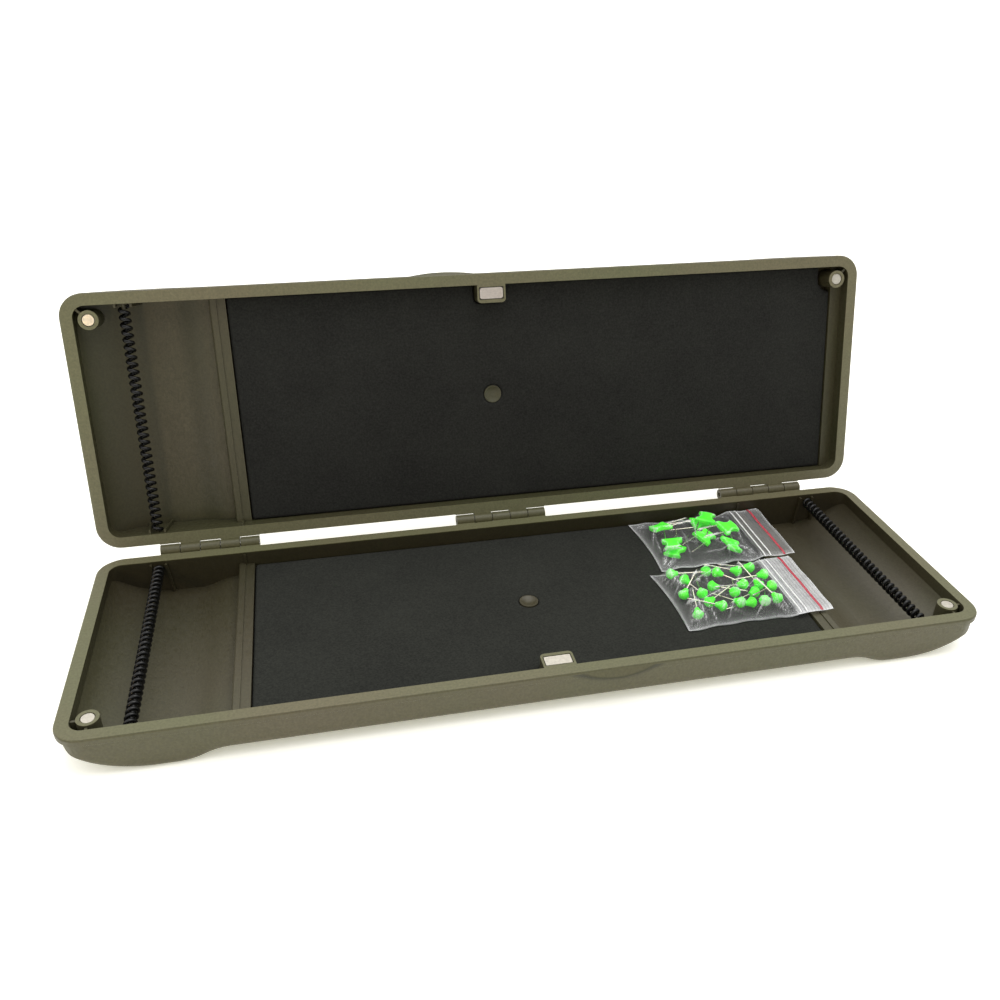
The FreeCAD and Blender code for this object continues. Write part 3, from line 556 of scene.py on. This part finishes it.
class Bag:
    """One press-seal bag as two film sheets over its pins, with zip lines and a lip stripe."""

    def __init__(self, name, kind, seed, lip_mist):
        self.name = name
        self.body = name + "_bag"
        self.seed = seed
        self.lip_mist = lip_mist
        low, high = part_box(name + "_bag_film")
        self.turn = math.radians(BAG_TURN[name])
        self.origin = Vector((low[0] + math.sin(self.turn) * BAG_HALF * MM,
                              (low[1] + high[1]) / 2 - math.sin(self.turn) * BAG_LENGTH / 2 * MM, 0))
        columns = int(BAG_LENGTH / BAG_STEP) + 1
        rows = int(2 * BAG_HALF / BAG_STEP) + 1
        self.u, self.v = np.meshgrid(np.linspace(0, BAG_LENGTH, columns),
                                     np.linspace(-BAG_HALF, BAG_HALF, rows), indexing="ij")
        self.plan_u, self.plan_v = self.plan()
        self.obstacle = self.pin_heights([kind + "_pin_heads", kind + "_pin_needles"])
        self.lower = self.lower_sheet()
        self.upper = self.upper_sheet()

    def plan(self):
        """Where each film point lies in plan: sides and closed end pull in between the corners."""
        u, v = self.u, self.v
        swell = np.sin(np.pi * np.clip(u / POUCH_END, 0, 1)) ** 1.5
        end = np.cos(np.pi * v / (2 * BAG_HALF)) * np.clip(1 - u / 22, 0, 1)
        rng = random.Random(self.seed + 50)
        wobble = sum(rng.uniform(0.1, 0.28) * np.sin(u * rng.uniform(0.15, 0.5) + rng.uniform(0, 6))
                     for _ in range(4))
        side = np.clip((np.abs(v) / BAG_HALF - 0.6) / 0.4, 0, 1)
        plan_v = v * (1 - 0.045 * swell) + wobble * side
        plan_u = u + 1.3 * end - 0.05 * v * np.clip(1 - u / 45, 0, 1)
        return plan_u, plan_v

    def world(self, u, v, z):
        """Row-frame metres of bag coordinates."""
        c, s = math.cos(self.turn), math.sin(self.turn)
        x = self.origin.x + (u * c - v * s) * MM
        y = self.origin.y + (u * s + v * c) * MM
        return np.stack([x, y, z * MM], axis=-1)

    def pin_heights(self, names):
        """Height of the pins under each film point, or the floor's where there are none."""
        mesh = bmesh.new()
        for name in names:
            mesh.from_mesh(NODES[name].data)
        tree = BVHTree.FromBMesh(mesh)
        mesh.free()
        heights = np.full(self.u.shape, FLOOR_Z)
        points = self.world(self.plan_u, self.plan_v, np.full(self.u.shape, 40.0))
        down = Vector((0, 0, -1))
        for index in np.ndindex(self.u.shape):
            hit = tree.ray_cast(Vector(points[index]), down)[0]
            if hit is not None:
                heights[index] = max(FLOOR_Z, hit.z / MM)
        return heights

    def lower_sheet(self):
        """Film under the pins: flat on the foam, then up over the ridge to the mouth."""
        rise = smooth_step(self.u, POUCH_END - 6, POUCH_END + 1)
        ripple = 0.12 * np.sin(self.v * 0.45 + self.seed) * rise
        return FLOOR_Z - 0.1 + rise * (MOUTH_LOW_Z - FLOOR_Z + 0.1) + ripple

    def upper_sheet(self):
        """Film over the pins: a stretched skin that sags between them, with creases."""
        low = self.lower + FILM_GAP
        lip = MOUTH_HIGH_Z + 0.2 * np.sin(self.v * 0.32 + self.seed) * smooth_step(self.u, 55, 66)
        lip = lip - 0.55 * smooth_step(np.abs(self.v), BAG_HALF - 3.0, BAG_HALF)
        fixed = np.zeros(self.u.shape, bool)
        fixed[0, :] = fixed[:, 0] = fixed[:, -1] = True
        mouth = self.u >= POUCH_END
        fixed |= mouth
        rest = np.where(mouth, lip, low)
        floor = np.maximum(low, np.where(self.obstacle > FLOOR_Z + 0.01, self.obstacle + PIN_COVER, 0))
        floor = np.where(fixed, rest, floor)
        skin = floor.copy()
        for _ in range(SETTLING_ROUNDS):
            skin[1:-1, 1:-1] = np.maximum(floor[1:-1, 1:-1], neighbour_sum(skin) / 4 - SAG)
            skin[fixed] = rest[fixed]
        for _ in range(SMOOTHING_ROUNDS):
            skin[1:-1, 1:-1] = np.where(fixed[1:-1, 1:-1], skin[1:-1, 1:-1],
                                        neighbour_sum(skin) / 4)
        skin = skin + self.creases() * self.crease_room()
        skin = np.where(mouth, skin, np.maximum(skin, floor + 0.04))
        return np.clip(skin, self.lower + 0.1, ROOF_Z)

    def crease_room(self):
        """How freely the film creases: not at its seams, a little at the lips."""
        edge = np.minimum(np.minimum(self.u, BAG_HALF - np.abs(self.v)), 4.0) / 4.0
        zipped = 1 - 0.93 * smooth_step(self.u, POUCH_END - 5, POUCH_END)
        return np.clip(edge, 0, 1) * zipped

    def creases(self):
        """Straight folds across the film, and wrinkles that run out from its corners."""
        rng = random.Random(self.seed)
        total = np.zeros(self.u.shape)
        for _ in range(26):
            angle = rng.uniform(0, math.pi)
            u0 = rng.uniform(3, POUCH_END)
            v0 = rng.uniform(-BAG_HALF, BAG_HALF)
            across = (self.u - u0) * math.cos(angle) + (self.v - v0) * math.sin(angle)
            along = -(self.u - u0) * math.sin(angle) + (self.v - v0) * math.cos(angle)
            width = rng.uniform(0.5, 1.6)
            reach = rng.uniform(4, 11)
            height = rng.uniform(0.25, 0.75) * rng.choice((-1, 1, 1))
            total += height * np.exp(-np.abs(across) / width) * np.exp(-(along / reach) ** 2)
        for corner_u, corner_v in ((0, -BAG_HALF), (0, BAG_HALF), (POUCH_END, -BAG_HALF),
                                   (POUCH_END, BAG_HALF)):
            du, dv = self.u - corner_u, self.v - corner_v
            radius = np.hypot(du, dv)
            angle = np.arctan2(dv, du)
            for _ in range(3):
                count = rng.choice((9, 13, 17))
                wave = np.abs(np.sin(angle * count / 2 + rng.uniform(0, 6) + 0.06 * radius))
                fold = rng.uniform(0.2, 0.4) * (1 - wave) ** 3
                total += 1.1 * fold * smooth_step(radius, 1, 7) * np.exp(-(radius / 12) ** 2)
        return total

    def mist(self, sheet, upper):
        """How milky the film is at each point, from its creases, seams and lips."""
        bend = np.zeros(sheet.shape)
        bend[1:-1, 1:-1] = np.abs(neighbour_sum(sheet) - 4 * sheet[1:-1, 1:-1])
        edge = np.minimum(self.u, BAG_HALF - np.abs(self.v))
        seam = 0.42 * np.exp(-(edge / 0.55) ** 2) + 0.08 * np.exp(-(edge / 2.2) ** 2)
        streaks = 0.5 + 0.5 * np.sin(self.u * 4.1 + np.sin(self.v * 0.2 + self.seed))
        lip = smooth_step(self.u, 49, 51) * self.lip_mist * (0.65 + 0.7 * streaks)
        end = 0.45 * smooth_step(self.u, BAG_LENGTH - 0.8, BAG_LENGTH)
        base = 0.04 if upper else 0.03
        crease = np.clip(bend * (1.0 if upper else 0.5) - 0.05, 0, 0.5)
        return np.clip(base + crease + seam + (lip + end) * (1.0 if upper else 0.5), 0, 0.9)

    def film(self, material):
        """The pouch: both sheets as one skin, joined at three seams and open at the mouth."""
        columns, rows = self.u.shape
        upper = self.world(self.plan_u, self.plan_v, self.upper).reshape(-1, 3)
        seamed = np.zeros(self.u.shape, bool)
        seamed[0, :] = seamed[:, 0] = seamed[:, -1] = True
        lower = self.world(self.plan_u, self.plan_v, self.lower).reshape(-1, 3)
        grid = np.arange(columns * rows).reshape(columns, rows)
        under = grid + columns * rows
        under = np.where(seamed, grid, under)
        faces = []
        for i in range(columns - 1):
            for j in range(rows - 1):
                faces.append((grid[i, j], grid[i + 1, j], grid[i + 1, j + 1], grid[i, j + 1]))
                faces.append((under[i, j + 1], under[i + 1, j + 1], under[i + 1, j], under[i, j]))
        mist = np.concatenate([self.mist(self.upper, True).ravel(),
                               self.mist(self.lower, False).ravel()])
        piece = mesh_piece(self.body + "_pouch", np.concatenate([upper, lower]), faces, mist)
        dress(piece, material)
        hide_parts(self.body + "_film")
        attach(piece, self.body)

    def height_at(self, u, v):
        """Upper film height at one bag place."""
        i = min(max(u / BAG_STEP, 0), self.u.shape[0] - 1.001)
        j = min(max((v + BAG_HALF) / BAG_STEP, 0), self.u.shape[1] - 1.001)
        a, b = int(i), int(j)
        s, t = i - a, j - b
        z = self.upper
        return ((z[a, b] * (1 - t) + z[a, b + 1] * t) * (1 - s)
                + (z[a + 1, b] * (1 - t) + z[a + 1, b + 1] * t) * s)

    def ribbon(self, name, strips, section, material, slot, nodes):
        """Strips across the bag on the upper film, each swept from a small cross-section."""
        points = []
        faces = []
        vs = np.linspace(-BAG_HALF + 0.25, BAG_HALF - 0.25, 80)
        sides = len(section)
        for centre in strips:
            start = len(points)
            for v in vs:
                for du, dz in section:
                    z = self.height_at(centre + du, v) + dz
                    points.append(self.world(centre + du, v, z))
            for k in range(len(vs) - 1):
                for side in range(sides):
                    a = start + k * sides + side
                    b = start + k * sides + (side + 1) % sides
                    faces.append((a, b, b + sides, a + sides))
            faces.append(tuple(range(start + sides - 1, start - 1, -1)))
            last = start + (len(vs) - 1) * sides
            faces.append(tuple(range(last, last + sides)))
        piece = mesh_piece(self.body + name, np.array(points), faces, None)
        dress(piece, material)
        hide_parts(*[self.body + node for node in nodes])
        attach(piece, self.body)


def mesh_piece(name, points, faces, mist):
    """Smooth-shaded mesh object, with its mist values if it has them."""
    mesh = bpy.data.meshes.new(name)
    mesh.from_pydata([tuple(map(float, point)) for point in points], [],
                     [tuple(int(i) for i in face) for face in faces])
    mesh.polygons.foreach_set("use_smooth", [True] * len(mesh.polygons))
    if mist is not None:
        layer = mesh.attributes.new("mist", "FLOAT", "POINT")
        layer.data.foreach_set("value", mist.astype(np.float32))
    loose = bmesh.new()
    loose.from_mesh(mesh)
    bmesh.ops.delete(loose, geom=[vert for vert in loose.verts if not vert.link_faces],
                     context="VERTS")
    loose.to_mesh(mesh)
    loose.free()
    mesh.update()
    piece = bpy.data.objects.new(name, mesh)
    bpy.context.scene.collection.objects.link(piece)
    return piece


ZIP_SECTION = [(-0.35, 0.02), (-0.28, 0.22), (0.0, 0.32), (0.28, 0.22), (0.35, 0.02), (0.0, -0.06)]
STRIPE_SECTION = [(-0.6, 0.02), (-0.6, 0.07), (0.6, 0.07), (0.6, 0.02)]


# ---- build ----------------------------------------------------------------------------------
make_camera()
make_stage()

MATERIALS = {
    "base_shell": case_plastic("case_base", False),
    "lid_shell": case_plastic("case_lid", True),
    "adhesive": adhesive_material(),
    "coil": coil_plastic(),
    "magnet": bare_metal("magnet", (0.66, 0.62, 0.54), 0.3, 0.5),
    "latch_plate": bare_metal("latch_steel", (0.66, 0.60, 0.55), 0.3, 0.5, (1, 4, 4)),
    "hinge_pin": bare_metal("pin_steel", (0.60, 0.58, 0.54), 0.25, 0.4, (0.2, 1, 1)),
    "needles": bare_metal("needle_steel", (0.74, 0.69, 0.58), 0.18, 0.32),
    "heads": head_plastic(),
}
for node_name, node_object in NODES.items():
    for key, material in MATERIALS.items():
        if key in node_name:
            dress(node_object, material)

# one foam in two copies: the lid's colours are darker than the base's, painted shade for the upright
# lid
foam_piece("base_foam", "base_foam_board", "base",
           foam_material("foam_base", (0.008, 0.0085, 0.007), (0.023, 0.0245, 0.020)))
foam_piece("lid_foam", "lid_foam_board", "lid",
           foam_material("foam_lid", (0.006, 0.006, 0.0055), (0.020, 0.021, 0.018)))

film = film_material()
strip = zip_plastic()
ink = stripe_ink()
for bag in (Bag("rear", "double", 3, 0.07), Bag("front", "single", 8, 0.32)):
    bag.film(film)
    bag.ribbon("_zip_lines", ZIP_LINES, ZIP_SECTION, strip, "zip_plastic",
               ["_zip_track", "_zip_rib"])
    bag.ribbon("_stripe", [STRIPE_AT], STRIPE_SECTION, ink, "red_ink", ["_lip_stripe"])
